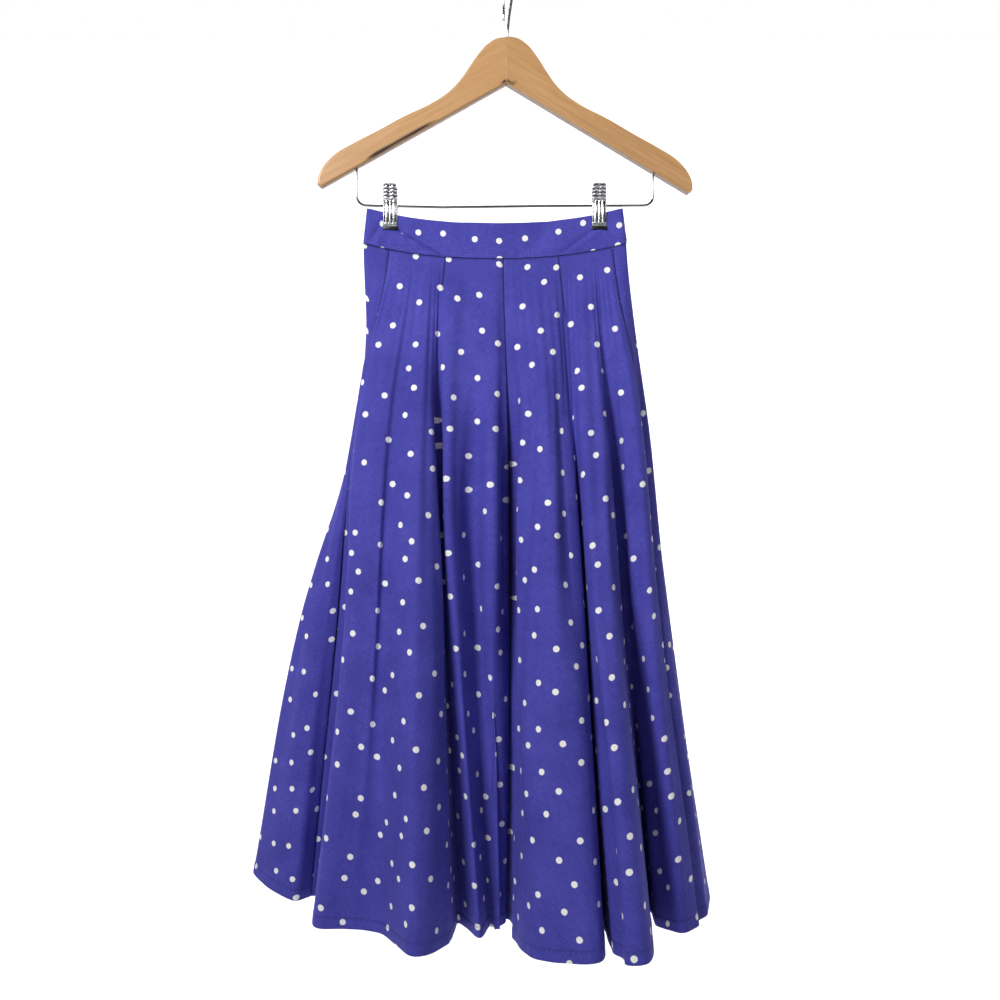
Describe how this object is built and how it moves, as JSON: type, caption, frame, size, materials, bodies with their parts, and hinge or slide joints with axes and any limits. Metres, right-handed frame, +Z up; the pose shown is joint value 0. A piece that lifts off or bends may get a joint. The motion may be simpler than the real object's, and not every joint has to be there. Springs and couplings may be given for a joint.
{
  "type": "circle skirt on a wooden clip hanger",
  "caption": "Long flared circle skirt with a flat waistband and side pockets, hung by two metal clips from a wooden hanger with a wire bar and hook.",
  "frame": {"origin": "inside of the hook's bend, where it rests on a rail", "axes": "+Z up, -Y the front of the skirt, +X to the right as seen from the front, along the hanger's arms"},
  "size_m": [0.5686, 0.3025, 1.1325],
  "materials": {
    "dotted_cotton": "violet-blue woven cotton with scattered white dots",
    "pocket_cotton": "plain violet-blue pocketing",
    "zip_tape": "woven zip tape dyed to match",
    "zip_metal": "nickel plated die casting",
    "button_resin": "polished resin button dyed to match",
    "varnished_wood": "clear satin varnish on a honey coloured hardwood",
    "chromed_wire": "bright chromed steel wire",
    "chromed_plate": "bright chromed pressed steel, ribbed and fluted",
    "black_dip": "black soft dip on the jaws"
  },
  "bodies": {
    "skirt_and_hanger": {"front_panel_left": "dotted_cotton", "front_panel_right": "dotted_cotton", "back_panel_left": "dotted_cotton", "back_panel_right": "dotted_cotton", "waistband": "dotted_cotton", "pocket_bag_left": "pocket_cotton", "pocket_bag_right": "pocket_cotton", "zip_tape": "zip_tape", "zip_slider": "zip_metal", "waist_button": "button_resin", "hanger_arm_left": "varnished_wood", "hanger_arm_right": "varnished_wood", "hook": "chromed_wire", "clip_bar": "chromed_wire", "clip_left_front": "chromed_plate", "clip_left_back": "chromed_plate", "clip_left_spring": "chromed_wire", "clip_left_tip_front": "black_dip", "clip_left_tip_back": "black_dip", "clip_right_front": "chromed_plate", "clip_right_back": "chromed_plate", "clip_right_spring": "chromed_wire", "clip_right_tip_front": "black_dip", "clip_right_tip_back": "black_dip"},
    "zip_pull_tab": {"zip_pull": "zip_metal"}
  },
  "joints": [
    {"name": "zip_pull_swing", "type": "hinge", "parent": "skirt_and_hanger", "child": "zip_pull_tab", "pos_m": [0.00009, 0.01518, -0.35005], "axis": [0.9988, -0.0458, -0.0176], "range_deg": [0, 140]}
  ]
}
